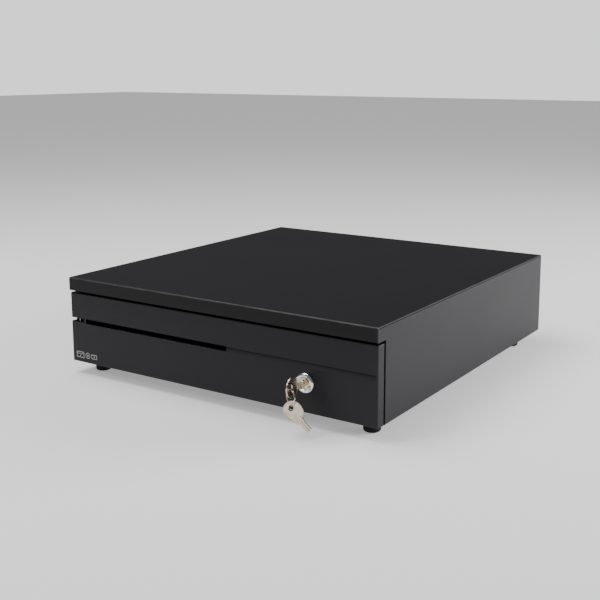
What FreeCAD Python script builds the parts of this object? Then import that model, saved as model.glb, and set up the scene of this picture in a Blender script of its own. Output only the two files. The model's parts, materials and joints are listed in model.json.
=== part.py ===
import math
import os
import re
import FreeCAD, Part
import Sketcher
from FreeCAD import Placement, Rotation, Vector

# A steel cash drawer: a folded housing on rubber feet, a drawer on nylon rollers, a till
# insert with coin and bill compartments, a cam lock with its keys, and an electric latch.
# +X is to the right, +Y to the back, +Z up. X = 0 is the middle, and Y = 0 the middle of
# the whole depth, keys included. Heights are drawn from 8 mm under the housing, and the
# finished pieces are lifted so that the feet stand on Z = 0.

doc = FreeCAD.newDocument("CashDrawer")
sheet = doc.addObject("Spreadsheet::Sheet", "Sizes")

drivingSizes = [
    ("width", 410, "housing, left to right"),
    ("depth", 425, "housing, lip to back"),
    ("underside", 8, "housing's underside in the drawing's heights"),
    ("bodyHeight", 100, "steel from bottom to top"),
    ("frontY", -196, "plane of the cover's lip"),
    ("steel", 1, "sheet of the housing and tray"),
    ("frontSteel", 1.2, "sheet of the drawer front and rails"),
    ("lipDrop", 15, "height of the cover's front lip"),
    ("cheekDepth", 14.3, "how far the cheeks stand in front of the sides"),
    ("seam", 0.8, "gap between the cover and the sides"),
    ("frontHalf", 204.3, "drawer front, half its width"),
    ("frontBottom", 8.5, "drawer front, lower edge"),
    ("frontTop", 90.3, "drawer front, upper edge"),
    ("frontFold", 11.5, "drawer front, depth of its folded edges"),
    ("grooveHigh", 58.2, "middle of the groove in the drawer front"),
    ("grooveRound", 2.6, "radius of the groove"),
    ("beadRound", 4.2, "radius of the bead behind the groove"),
    ("slotLeft", -181.4, "media slot, left end"),
    ("slotRight", 22.6, "media slot, right end"),
    ("slotLow", 55.4, "media slot, lower edge"),
    ("slotTop", 61.2, "media slot, upper edge"),
    ("lockX", 122, "lock, from the middle"),
    ("lockZ", 39.7, "lock, above the table"),
    ("trayHalf", 189, "tray, half its width"),
    ("trayFloor", 13, "tray, underside"),
    ("trayTop", 86, "tray, top of its walls"),
    ("trayBack", 393, "tray's back wall, from the lip plane"),
    ("rollerRound", 5.5, "roller radius"),
    ("rollerWide", 6, "roller width"),
    ("axleRound", 2, "roller axle radius"),
    ("rollerBore", 2.05, "roller bore radius"),
    ("tillHalf", 186.5, "till insert, half its width"),
    ("tillFront", 38, "till insert, from the lip plane"),
    ("tillBack", 388, "till insert, its back"),
    ("tillFloor", 26, "till insert, underside"),
    ("tillTop", 82, "till insert, top"),
    ("wall", 2, "wall of the moulded pieces"),
    ("coinBack", 158, "cross wall between coins and bills"),
    ("footHeight", 14, "rubber foot, its height"),
    ("footRound", 9, "rubber foot radius"),
    ("footRecess", 5, "depth of the screw's recess in a foot"),
    ("footX", 183, "feet, from the middle"),
    ("footFront", 28, "front feet, from the lip plane"),
    ("footBack", 385, "back feet, from the lip plane"),
    ("screwRound", 2, "small screw shank"),
    ("bowRound", 10.6, "key bow radius"),
    ("keyThick", 1.6, "key thickness"),
    ("bladeShift", 1.6, "key blade beside the bow's middle"),
    ("eyeSide", 0.8, "key eye beside the bow's middle"),
    ("eyeOut", 4, "key eye beyond the bow's middle"),
    ("eyeRound", 2.5, "key eye radius"),
    ("ringRound", 8, "key ring, middle radius"),
    ("wireRound", 0.55, "key ring wire radius"),
    ("bowOut", 21.5, "lock key's bow, middle, before the lip plane"),
    ("ringAside", 1, "ring's middle to the right of the lock key's eye"),
    ("ringFore", 0.4, "ring's middle in front of the lock key's eye"),
    ("spareAside", 0.8, "spare key's eye along the ring from its lowest point"),
    ("play", 0.25, "slack between the ring's wire and a key's eye"),
    ("clipSwing", 74, "bill clip pivot, above the table"),
    ("clipY", 380, "bill clip pivot, from the lip plane"),
    ("clipWide", 26, "bill clip width"),
    ("latchY", 415, "latch pivot, from the lip plane"),
    ("latchZ", 18, "latch pivot, above the table"),
    ("latchArm", 9, "latch pivot to the plunger's pin"),
    ("latchLift", 20, "angle by which the latch is lifted when free"),
    ("springX", 120, "eject springs, from the middle"),
    ("springZ", 40, "eject springs, above the table"),
    ("springRound", 6, "eject spring, middle radius"),
    ("portX", -150, "cable socket, from the middle"),
    ("portZ", 32, "cable socket, above the table"),
]
size = {}
for row, (alias, number, note) in enumerate(drivingSizes, 1):
    sheet.set(f"A{row}", alias)
    sheet.set(f"B{row}", str(number))
    sheet.set(f"C{row}", note)
    sheet.setAlias(f"B{row}", alias)
    size[alias] = number
doc.recompute()

coinCups = 8
billBays = 5
front = size["frontY"]
alongX = Rotation(Vector(0, 1, 0), 90)
alongY = Rotation(Vector(1, 0, 0), -90)
alongZ = Rotation()
towardFront = Rotation(Vector(1, 0, 0), 90)
nodes = {}


# ---- small tools ----

def ex(text):
    """An expression in which each alias is looked up in the sheet."""
    return re.sub(r"[A-Za-z]\w*", lambda w: "Sizes." + w[0] if w[0] in size else w[0], str(text))


def value(text):
    return float(sheet.evalExpression(ex(text)))


def node(name, obj):
    obj.Label = name
    nodes[name] = obj
    return obj


def place(obj, x, y, z, turn=alongZ):
    obj.Placement = Placement(Vector(value(x), value(y), value(z)), turn)
    for axis, text in (("x", x), ("y", y), ("z", z)):
        obj.setExpression(f".Placement.Base.{axis}", ex(text))
    return obj


def slab(name, x, y, z):
    """A block from the first to the second value along each axis."""
    block = doc.addObject("Part::Box", name)
    for side, (low, high) in (("Length", x), ("Width", y), ("Height", z)):
        block.setExpression(side, ex(f"({high}) - ({low})"))
    return place(block, x[0], y[0], z[0])


def rod(name, turn, start, radius, length):
    """A cylinder that starts at a point and runs along the turned Z axis."""
    cylinder = doc.addObject("Part::Cylinder", name)
    cylinder.setExpression("Radius", ex(radius))
    cylinder.setExpression("Height", ex(length))
    return place(cylinder, *start, turn)


def joined(name, pieces):
    whole = doc.addObject("Part::MultiFuse", name)
    whole.Shapes = pieces
    whole.Refine = True
    return whole


def group(name, pieces):
    """Several separate solids in one node."""
    whole = doc.addObject("Part::Compound", name)
    whole.Links = pieces
    return node(name, whole)


def minus(name, base, cutters):
    cut = doc.addObject("Part::Cut", name)
    cut.Base = base
    cut.Tool = cutters[0] if len(cutters) == 1 else joined(name + "Cutters", cutters)
    return cut


def mirrored(pair, side):
    """The same range on the left or the right."""
    return pair if side > 0 else (f"-({pair[1]})", f"-({pair[0]})")


def near(edge, **levels):
    centre = edge.CenterOfMass
    return all(abs(getattr(centre, axis) - level) < 0.01 for axis, level in levels.items())


def rounded(name, base, radius, wanted):
    """Round the edges of a solid that the test picks out."""
    doc.recompute()
    picked = [i for i, edge in enumerate(base.Shape.Edges, 1) if wanted(edge)]
    fillet = doc.addObject("Part::Fillet", name)
    fillet.Base = base
    fillet.Edges = [(i, radius, radius) for i in picked]
    return fillet


def sketchOn(owner, role):
    sketch = owner.newObject("Sketcher::SketchObject", owner.Name + "Sketch")
    plane = [item for item in owner.Origin.OriginFeatures if item.Role == role][0]
    sketch.AttachmentSupport = [(plane, "")]
    sketch.MapMode = "FlatFace"
    return sketch


def outline(sketch, corners):
    """A closed line through corners, each held by two bound distances."""
    first = sketch.GeometryCount
    count = len(corners)
    points = [Vector(value(u), value(v), 0) for u, v in corners]
    for i in range(count):
        sketch.addGeometry(Part.LineSegment(points[i], points[(i + 1) % count]), False)
    for i in range(count):
        following = first + (i + 1) % count
        sketch.addConstraint(Sketcher.Constraint("Coincident", first + i, 2, following, 1))
    for i, (u, v) in enumerate(corners):
        for kind, text in (("DistanceX", u), ("DistanceY", v)):
            rule = Sketcher.Constraint(kind, -1, 1, first + i, 1, value(text))
            sketch.setExpression(f"Constraints[{sketch.addConstraint(rule)}]", ex(text))


def padded(name, role, corners, length):
    """A body whose outline is padded off one of its own origin planes."""
    owner = doc.addObject("PartDesign::Body", name)
    sketch = sketchOn(owner, role)
    outline(sketch, corners)
    pad = owner.newObject("PartDesign::Pad", name + "Pad")
    pad.Profile = sketch
    pad.setExpression("Length", ex(length))
    owner.Tip = pad
    return owner


def turned(name, corners, start, turn):
    """A body turned about its own Z axis from corners given as radius and height."""
    owner = doc.addObject("PartDesign::Body", name)
    sketch = sketchOn(owner, "XZ_Plane")
    outline(sketch, corners)
    revolution = owner.newObject("PartDesign::Revolution", name + "Turn")
    revolution.Profile = sketch
    revolution.ReferenceAxis = (sketch, ["V_Axis"])
    revolution.Angle = 360
    owner.Tip = revolution
    return place(owner, *start, turn)


def screw(name, start, turn, head="3.6", shank="6"):
    """A pan-head screw whose head stands on the point and whose shank runs back from it."""
    dome = "1.6"
    corners = [("0", f"-({shank})"), ("screwRound - 0.1", f"-({shank})"), ("screwRound - 0.1", "0"),
               (head, "0"), (head, "0.7"), (f"({head}) * 0.6", dome), ("0", dome)]
    return turned(name, corners, start, turn)


# ---- housing ----

sheetTop = "underside + bodyHeight"
sideTop = f"{sheetTop} - steel - seam"
halfWidth = "width / 2"
back = "frontY + depth"
lipBottom = f"{sheetTop} - lipDrop"
cheekFront = "frontY + cheekDepth"


def makeChassis():
    outer = slab("chassisOuter", ("-width / 2", halfWidth), ("frontY + steel + 0.1", back),
                 ("underside", sideTop))
    half = size["width"] / 2
    bottom = size["underside"]
    bend = rounded("chassisBend", outer, 1.6, lambda e: near(e, z=bottom) and not near(e, x=0))
    hollow = slab("chassisHollow", ("-width / 2 + steel", "width / 2 - steel"),
                  ("frontY - 1", f"{back} + 1"), ("underside + steel", "underside + bodyHeight + 10"))
    notch = slab("chassisNotch", ("-width / 2 - 1", f"{halfWidth} + 1"), ("frontY - 1", cheekFront),
                 ("0", lipBottom))
    holes = [rod(f"chassisHole{i}", alongZ, (x, y, "underside - 1"), "screwRound", "steel + 2")
             for i, (x, y) in enumerate(footPlaces)]
    body = minus("chassisCut", bend, [hollow, notch] + holes)
    return node("chassis", rounded("chassis", body, 0.4, lambda e: near(e, y=value(cheekFront))
                                   and abs(abs(e.CenterOfMass.x) - half) < 0.01))


def makeCover():
    """The top sheet with its folded lip, and a flange inside each side."""
    corners = [("frontY", lipBottom), ("frontY + 9", lipBottom), ("frontY + 9", f"{lipBottom} + steel"),
               ("frontY + steel", f"{lipBottom} + steel"), ("frontY + steel", f"{sheetTop} - steel"),
               (back, f"{sheetTop} - steel"), (back, sheetTop), ("frontY", sheetTop)]
    profile = padded("coverProfile", "YZ_Plane", corners, "width")
    place(profile, "-width / 2", "0", "0")
    top = value(sheetTop)
    bend = rounded("coverBend", profile, 1.6, lambda e: near(e, y=front, z=top))
    half = size["width"] / 2
    edged = rounded("coverEdge", bend, 0.35, lambda e: e.CenterOfMass.z > top - 0.1
                    and (near(e, x=half) or near(e, x=-half) or near(e, y=front + size["depth"])))
    flanges = [slab("coverFlange" + word, mirrored(("width / 2 - 2 * steel - 0.2", "width / 2 - steel - 0.2"), side),
                    ("frontY + steel", f"{back} - 18"), (f"{lipBottom} + 3", f"{sheetTop} - steel"))
               for word, side in (("Left", -1), ("Right", 1))]
    cheeks = [slab("coverCheek" + word, mirrored(("width / 2 - steel - 0.1", f"{halfWidth} + 1"), side),
                   ("frontY + steel", "frontY + 10"), (f"{lipBottom} - 1", f"{lipBottom} + 2"))
              for word, side in (("Left", -1), ("Right", 1))]
    return node("top_cover", minus("coverCut", joined("cover", [edged] + flanges), cheeks))


def makeBackPanel():
    inner = "width / 2 - steel - 0.1"
    outer = slab("backOuter", (f"-({inner})", inner), (f"{back} - 14", back),
                 ("underside + steel + 0.05", f"{sheetTop} - steel - 0.05"))
    hollow = slab("backHollow", (f"-({inner}) + steel", f"{inner} - steel"), (f"{back} - 20", f"{back} - steel"),
                  ("underside + 2 * steel + 0.05", f"{sheetTop} - 2 * steel - 0.05"))
    port = slab("backPort", ("portX - 8.1", "portX + 8.1"), (f"{back} - 3", f"{back} + 1"),
                ("portZ - 7.1", "portZ + 7.1"))
    slots = []
    for column in range(9):
        middle = f"{(column - 4) * 12}"
        slots.append(slab(f"backVent{column}", (f"{middle} - 1.5", f"{middle} + 1.5"),
                          (f"{back} - 3", f"{back} + 1"), ("62", "84")))
    holes = [rod(f"backHole{i}", alongY, (x, f"{back} - 3", z), "screwRound", "5")
             for i, (x, z) in enumerate(backScrewPlaces)]
    return node("back_panel", minus("backPanel", outer, [hollow, port] + slots + holes))


def makeFeet():
    """Four rubber feet with a rounded tread and a recess for the screw's head."""
    corners = [("screwRound", "footRecess"), ("5", "footRecess"), ("5", "0"), ("footRound - 2.5", "0"),
               ("footRound - 1.2", "0.4"), ("footRound - 0.4", "1.2"), ("footRound", "2.5"),
               ("footRound", "footHeight"), ("screwRound", "footHeight")]
    tread = "underside - footHeight"
    head = f"{tread} + footRecess"
    feet = []
    screws = []
    for i, (x, y) in enumerate(footPlaces):
        feet.append(turned(f"foot{i}", corners, (x, y, tread), alongZ))
        screws.append(screw(f"footScrew{i}", (x, y, head), Rotation(Vector(1, 0, 0), 180), shank="12.6"))
    group("rubber_feet", feet)
    group("foot_screws", screws)


footPlaces = [(x, f"frontY + {y}") for y in ("footFront", "footBack") for x in ("-footX", "footX")]
backScrewPlaces = [(x, z) for x in ("-192", "192") for z in ("20", "98")]
makeChassis()
makeCover()
makeBackPanel()
makeFeet()
group("back_screws", [screw(f"backScrew{i}", (x, back, z), alongY)
                      for i, (x, z) in enumerate(backScrewPlaces)])


# ---- rails and rollers ----

rollerMiddle = "trayHalf + frontSteel + 5.3"
frontAxleY = "frontY + 34"
backAxleY = "frontY + 383"
frontAxleZ = "35.5"
backAxleZ = "35"


def angle(name, flangeX, legX, y, flangeZ, legZ):
    """A folded steel angle: a level flange for the rollers and an upright leg."""
    return joined(name, [slab(name + "Flange", flangeX, y, flangeZ), slab(name + "Leg", legX, y, legZ)])


def makeRails():
    """Angles along the sides: each pair of rollers runs on one and is held down by another."""
    inside = "width / 2 - steel"
    for word, side in (("left", -1), ("right", 1)):
        reach = mirrored(("191.5", inside), side)
        leg = mirrored((f"{inside} - frontSteel", inside), side)
        long = ("frontY + 18", "frontY + 409")
        node(f"housing_rail_{word}", angle(f"housingRail{word}", reach, leg, long, ("28", "29.2"), ("17", "29.2")))
        node(f"tilt_guard_{word}", angle(f"tiltGuard{word}", reach, leg, long, ("43.3", "44.5"), ("43.3", "55")))
        node(f"drawer_rail_{word}", angle(f"drawerRail{word}", mirrored(("trayHalf", "198"), side),
                                          mirrored(("trayHalf", "trayHalf + frontSteel"), side),
                                          ("frontY + 16", "frontY + 391"), ("41.3", "42.5"), ("41.3", "53")))
    corners = [("rollerBore", "0"), ("rollerRound - 0.4", "0"), ("rollerRound", "0.4"),
               ("rollerRound", "rollerWide - 0.4"), ("rollerRound - 0.4", "rollerWide"),
               ("rollerBore", "rollerWide")]
    frontAxles = []
    backAxles = []
    for word, side in (("left", -1), ("right", 1)):
        start = f"{side} * ({rollerMiddle}) - rollerWide / 2"
        node(f"front_roller_{word}", turned(f"frontRoller{word}", corners, (start, frontAxleY, frontAxleZ), alongX))
        node(f"rear_roller_{word}", turned(f"rearRoller{word}", corners, (start, backAxleY, backAxleZ), alongX))
        outward = mirrored(("191.8", inside), side)
        inward = mirrored(("trayHalf", "199.2"), side)
        frontAxles.append(rod(f"frontAxle{word}", alongX, (outward[0], frontAxleY, frontAxleZ), "axleRound",
                              f"({outward[1]}) - ({outward[0]})"))
        backAxles.append(rod(f"backAxle{word}", alongX, (inward[0], backAxleY, backAxleZ), "axleRound",
                             f"({inward[1]}) - ({inward[0]})"))
    group("front_roller_axles", frontAxles)
    group("rear_roller_axles", backAxles)


makeRails()


# ---- drawer front, tray and media guide ----

frontPlane = "frontY + steel"
foldEnd = "frontY + steel + frontFold"


def makeGroove():
    """A groove with a steep upper wall and a slope below, rounded at its right end."""
    endX = value("frontHalf - 2 - grooveRound")
    face = value(frontPlane)
    high = size["grooveHigh"]
    section = [(face - 1, high + 2.9), (face + 1.9, high + 2), (face + 2.1, high + 1.5), (face, high - 2.6),
               (face - 1, high - 2.6)]
    wedge = doc.addObject("Part::Extrusion", "grooveWedge")
    wire = doc.addObject("Part::Polygon", "grooveSection")
    wire.Nodes = [Vector(size["slotRight"], y, z) for y, z in section]
    wire.Close = True
    wedge.Base = wire
    wedge.Dir = Vector(1, 0, 0)
    wedge.LengthFwd = endX + size["grooveRound"] - size["slotRight"]
    wedge.Solid = True
    straight = slab("grooveStraight", ("slotRight - 1", str(endX)), ("frontY - 2", "frontY + 6"),
                    ("grooveHigh - 4", "grooveHigh + 4"))
    end = rod("grooveEnd", alongY, (str(endX), "frontY - 2", "grooveHigh"), "grooveRound + 0.2", "8")
    cut = doc.addObject("Part::Common", "groove")
    cut.Base = wedge
    cut.Tool = joined("grooveOutline", [straight, end])
    return cut


def makeDrawerFront():
    outer = slab("frontOuter", ("-frontHalf", "frontHalf"), (frontPlane, foldEnd), ("frontBottom", "frontTop"))
    half = size["frontHalf"]
    face = value(frontPlane)
    bend = rounded("frontBend", outer, 1.1, lambda e: near(e, y=face) or near(e, z=size["frontTop"], x=half)
                   or near(e, z=size["frontTop"], x=-half))
    hollow = slab("frontHollow", ("-frontHalf + frontSteel", "frontHalf - frontSteel"),
                  (f"{frontPlane} + frontSteel", f"{foldEnd} + 1"),
                  ("frontBottom + frontSteel", "frontTop - frontSteel"))
    shell = minus("frontShell", bend, [hollow])
    grooveY = f"{frontPlane} - 0.4"
    bead = rod("frontBead", alongX, ("-frontHalf + 0.6", grooveY, "grooveHigh"), "beadRound", "2 * frontHalf - 1.2")
    beadBack = minus("frontBeadBack", bead, [slab("frontBeadTrim", ("-210", "210"),
                     ("frontY - 10", f"{frontPlane} + 0.4"), ("40", "70"))])
    whole = joined("frontWhole", [shell, beadBack])
    groove = makeGroove()
    leftGroove = slab("frontLeftGroove", ("-frontHalf - 1", "slotLeft - 2.7"), ("frontY - 1", f"{frontPlane} + 8"),
                      ("slotLow + 0.9", "slotTop - 0.4"))
    slot = slab("frontSlot", ("slotLeft", "slotRight"), ("frontY - 1", f"{frontPlane} + 8"), ("slotLow", "slotTop"))
    lock = rod("frontLockHole", alongY, ("lockX", "frontY", "lockZ"), "9.5", "5")
    return node("drawer_front", minus("drawerFront", whole, [groove, leftGroove, slot, lock]))


def makeTray():
    outer = slab("trayOuter", ("-trayHalf", "trayHalf"), (foldEnd, "frontY + trayBack"), ("trayFloor", "trayTop"))
    hollow = slab("trayHollow", ("-trayHalf + steel", "trayHalf - steel"),
                  (f"{foldEnd} + steel", "frontY + trayBack - steel"), ("trayFloor + steel", "trayTop + 1"))
    slot = slab("traySlot", ("slotLeft - 3", "slotRight + 3"), (f"{foldEnd} - 1", f"{foldEnd} + 2"), ("49", "67"))
    lock = rod("trayLockHole", alongY, ("lockX", f"{foldEnd} - 1", "lockZ"), "15", "4")
    return node("drawer_tray", minus("drawerTray", outer, [hollow, slot, lock]))


def makeMediaGuide():
    """A bent strip above the slot that turns a cheque down into the tray."""
    face = f"{foldEnd} + steel"
    corners = [(face, "70"), (f"{face} + 1", "70"), (f"{face} + 1", "77.5"), (f"{face} + 17", "54"),
               (f"{face} + 18", "54.8"), (f"{face} + 1.4", "79.2"), (f"{face} + 1", "83"), (face, "83")]
    guide = padded("mediaGuide", "YZ_Plane", corners, "slotRight - slotLeft + 10")
    return node("media_guide", place(guide, "slotLeft - 5", "0", "0"))


makeDrawerFront()
makeTray()
makeMediaGuide()


# ---- till ----

bayHalf = "tillHalf - wall"


def makeTillBase():
    outer = slab("tillOuter", ("-tillHalf", "tillHalf"), ("frontY + tillFront", "frontY + tillBack"),
                 ("tillFloor", "tillTop"))
    corner = rounded("tillCorners", outer, 3, lambda e: near(e, z=(size["tillFloor"] + size["tillTop"]) / 2))
    bills = slab("tillBills", (f"-({bayHalf})", bayHalf), ("frontY + coinBack + wall", "frontY + tillBack - wall"),
                 ("tillFloor + wall", "tillTop + 1"))
    coins = slab("tillCoins", (f"-({bayHalf})", bayHalf), ("frontY + tillFront + wall", "frontY + coinBack"),
                 ("tillFloor + wall", "tillTop + 1"))
    return node("till_base", minus("tillBase", corner, [bills, coins]))


def makeCoinTray():
    """A lift-out moulding with a row of scooped cups."""
    low = "tillFloor + wall + 0.3"
    yFrom = "frontY + tillFront + wall + 0.4"
    yTo = "frontY + coinBack - 0.4"
    outer = slab("coinOuter", (f"-({bayHalf}) + 0.4", f"{bayHalf} - 0.4"), (yFrom, yTo), (low, "tillTop - 3"))
    pitch = f"((2 * ({bayHalf}) - 0.8 - wall) / {coinCups})"
    cups = []
    for i in range(coinCups):
        left = f"-({bayHalf}) + 0.4 + wall + {i} * {pitch}"
        cup = slab(f"coinCup{i}", (left, f"{left} + {pitch} - wall"), (f"{yFrom} + wall", f"{yTo} - wall"),
                   (f"{low} + 1.6", "tillTop + 1"))
        floor = value(f"{low} + 1.6")
        middle = value(f"{left} + ({pitch} - wall) / 2")
        scoop = rounded(f"coinScoop{i}", cup, 22, lambda e: near(e, z=floor, x=middle))
        cups.append(scoop)
    return node("coin_tray", minus("coinTray", outer, cups))


def makeBillBays():
    pitch = f"((2 * ({bayHalf}) - {billBays - 1} * wall) / {billBays} + wall)"
    plates = []
    for i in range(1, billBays):
        left = f"-({bayHalf}) + {i} * {pitch} - wall"
        plates.append(slab(f"billDivider{i}", (left, f"{left} + wall"),
                           ("frontY + coinBack + wall + 0.2", "frontY + clipY - 9"),
                           ("tillFloor + wall + 0.1", "tillTop - 4")))
    group("bill_dividers", plates)
    node("clip_axle", rod("clipAxle", alongX, (f"-({bayHalf})", "frontY + clipY", "clipSwing"), "axleRound",
                          f"2 * ({bayHalf})"))
    for i in range(billBays):
        middle = f"-({bayHalf}) + {i} * {pitch} + ({pitch} - wall) / 2"
        corners = [("2.8", "3.2"), ("-2", "4.2"), ("-30", "-4.4"), ("-100", "-37.4"), ("-112", "-41"),
                   ("-120", "-37.6"), ("-121", "-39.4"), ("-112", "-43.2"), ("-99", "-39.8"),
                   ("-30", "-7.4"), ("-3", "-3.8"), ("2.8", "-3.2")]
        arm = padded(f"billClipArm{i}", "YZ_Plane", corners, "clipWide")
        place(arm, f"{middle} - clipWide / 2", "frontY + clipY", "clipSwing")
        hub = rod(f"billClipHub{i}", alongX, (f"{middle} - clipWide / 2 - 4", "frontY + clipY", "clipSwing"),
                  "4.4", "clipWide + 8")
        bore = rod(f"billClipBore{i}", alongX, (f"{middle} - clipWide / 2 - 6", "frontY + clipY", "clipSwing"),
                   "rollerBore", "clipWide + 12")
        node(f"bill_clip_{i + 1}", minus(f"billClip{i}", joined(f"billClipBody{i}", [arm, hub]), [bore]))


makeTillBase()
makeCoinTray()
makeBillBays()


# ---- lock, keys and ring ----

def makeLock():
    barrel = [("6.05", "-23"), ("9.4", "-23"), ("9.4", "-1"), ("10.5", "-1"), ("10.5", "0.8"),
              ("9.6", "2"), ("6.6", "2"), ("6.05", "1.6")]
    node("lock_barrel", turned("lockBarrel", barrel, ("lockX", "frontY", "lockZ"), towardFront))
    nutBlank = doc.addObject("Part::Prism", "lockNutBlank")
    nutBlank.Polygon = 6
    nutBlank.setExpression("Circumradius", "13.2")
    nutBlank.setExpression("Height", "4")
    place(nutBlank, "lockX", f"{frontPlane} + frontSteel", "lockZ", alongY)
    nutHole = rod("lockNutHole", alongY, ("lockX", "frontY", "lockZ"), "9.4", "12")
    node("lock_nut", minus("lockNut", nutBlank, [nutHole]))
    plug = [("0", "-23.6"), ("6", "-23.6"), ("6", "1.4"), ("5.4", "1.9"), ("0", "2.1")]
    plugBody = turned("lockPlugBody", plug, ("lockX", "frontY", "lockZ"), towardFront)
    keyway = slab("lockKeyway", ("lockX - keyThick / 2 - 0.25", "lockX + keyThick / 2 + 0.25"),
                  ("frontY - 4", "frontY + 18"), ("lockZ - 4.2", "lockZ + 4.2"))
    node("lock_plug", minus("lockPlug", plugBody, [keyway]))
    hub = rod("camHub", alongY, ("lockX", "frontY + 23.6", "lockZ"), "8", "2")
    arm = slab("camArm", ("lockX - 57", "lockX"), ("frontY + 23.6", "frontY + 25.6"), ("lockZ - 6.5", "lockZ + 6.5"))
    camBore = rod("camBore", alongY, ("lockX", "frontY + 22", "lockZ"), "screwRound", "6")
    node("lock_cam", minus("lockCam", joined("camBlank", [hub, arm]), [camBore]))
    node("cam_screw", screw("camScrew", ("lockX", "frontY + 25.6", "lockZ"), alongY, shank="2"))
    plate = slab("keeperPlate", ("lockX - 9", "lockX + 9"), ("frontY + 20.6", "frontY + 21.8"), ("92", f"{sheetTop} - steel"))
    foot = slab("keeperFoot", ("lockX - 9", "lockX + 9"), ("frontY + 20.6", "frontY + 36"),
                (f"{sheetTop} - steel - frontSteel", f"{sheetTop} - steel"))
    node("lock_keeper", joined("lockKeeper", [plate, foot]))


def keyShape(name, bladeLength):
    """A key lying in its own XZ plane: round bow at the origin, blade along -Z, cuts on one side."""
    bow = rod(name + "Bow", alongY, ("0", "-keyThick / 2", "0"), "bowRound", "keyThick")
    rim = rounded(name + "Rim", bow, 0.35, lambda e: abs(e.CenterOfMass.x) < 0.01)
    tip = f"-({bladeLength})"
    corners = [("-3.9", "-bowRound + 2"), ("-3.9", "-bowRound - 2.4"), ("-3.1", "-bowRound - 3.2"),
               ("-3.1", f"{tip} + 3"), ("-0.6", tip), ("0.8", tip), ("2.2", f"{tip} + 2.2")]
    steps = 4
    for i in range(steps):
        up = f"({bladeLength} - bowRound - 6.4) * {i / steps}"
        corners.append((f"{1.5 + 0.9 * (i % 2)}", f"{tip} + 3.6 + {up}"))
        corners.append((f"{2.5 - 0.8 * (i % 2)}", f"{tip} + 4.8 + {up}"))
    corners += [("3.1", "-bowRound - 3.2"), ("3.9", "-bowRound - 2.4"), ("3.9", "-bowRound + 2")]
    blade = padded(name + "Blade", "XZ_Plane", corners, "keyThick")
    place(blade, "-bladeShift", "keyThick / 2", "0")
    eye = [rod(name + "Eye", alongY, ("eyeSide", "-3", "eyeOut"), "eyeRound", "6")]
    for word, turn in (("Front", towardFront), ("Back", alongY)):
        sink = doc.addObject("Part::Cone", name + "Sink" + word)
        for side, text in (("Radius1", "eyeRound"), ("Radius2", "eyeRound + 1"), ("Height", "keyThick / 2 + 0.2")):
            sink.setExpression(side, ex(text))
        eye.append(place(sink, "eyeSide", "0", "eyeOut", turn))
    return minus(name + "Whole", joined(name + "Blank", [rim, blade]), eye)


def carried(name, shape, base, turn):
    """A finished shape moved to its place in the model."""
    moved = doc.addObject("Part::Compound", name)
    moved.Links = [shape]
    return node(name, place(moved, *base, turn))


keyBow = ("lockX", "frontY - bowOut", "lockZ + bladeShift")
ringTop = "lockZ + bladeShift + eyeSide - eyeRound + wireRound + play"
ringDrop = "sqrt(ringRound ^ 2 - ringAside ^ 2 - ringFore ^ 2)"
ringMiddle = ("lockX + ringAside", "frontY - bowOut - eyeOut - ringFore", f"{ringTop} - {ringDrop}")
ringYaw = -27
spareYaw = 13
spareLean = -46.5


def makeKeys():
    inLock = Rotation(Vector(0, 0, 1), 90) * Rotation(Vector(0, 1, 0), -90)
    carried("lock_key", keyShape("lockKey", "37"), keyBow, inLock)
    ring = doc.addObject("Part::Torus", "keyRing")
    ring.setExpression("Radius1", ex("ringRound"))
    ring.setExpression("Radius2", ex("wireRound"))
    node("key_ring", place(ring, *ringMiddle, Rotation(Vector(0, 0, 1), ringYaw) * towardFront))
    along = Rotation(Vector(0, 0, 1), ringYaw).multVec(Vector(1, 0, 0))
    middle = Vector(*[value(text) for text in ringMiddle])
    aside = size["spareAside"]
    lowest = middle + along * aside - Vector(0, 0, math.sqrt(size["ringRound"] ** 2 - aside ** 2))
    lean = Rotation(Vector(0, 0, 1), spareYaw) * Rotation(Vector(0, 1, 0), spareLean)
    eye = lowest - Vector(0, 0, value("eyeRound - wireRound - play"))
    bow = eye - lean.multVec(Vector(size["eyeSide"], 0, size["eyeOut"]))
    carried("spare_key", keyShape("spareKey", "25"), (bow.x, bow.y, bow.z), lean)


def makeBadge():
    """A small outline of a drawer with a bar across it and a round knob."""
    face = ("frontY + steel - 0.3", "frontY + steel")
    outer = slab("badgeOuter", ("-198", "-182"), face, ("13", "22"))
    hollow = slab("badgeHollow", ("-197", "-183"), ("frontY", "frontY + 2"), ("14", "21"))
    bar = slab("badgeBar", ("-197.5", "-182.5"), face, ("18", "18.8"))
    knob = rod("badgeKnob", alongY, ("-190", face[0], "16"), "1.1", "0.3")
    frame = joined("badgeFrame", [minus("badgeRim", outer, [hollow]), bar])
    group("front_badge", [frame, knob])


makeLock()
makeKeys()
makeBadge()


# ---- latch, solenoid, striker, springs, switch and socket ----

plungerY = "frontY + latchY - latchArm * 0.97"
plungerPinZ = "latchZ + latchArm * sin(latchLift)"


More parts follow.
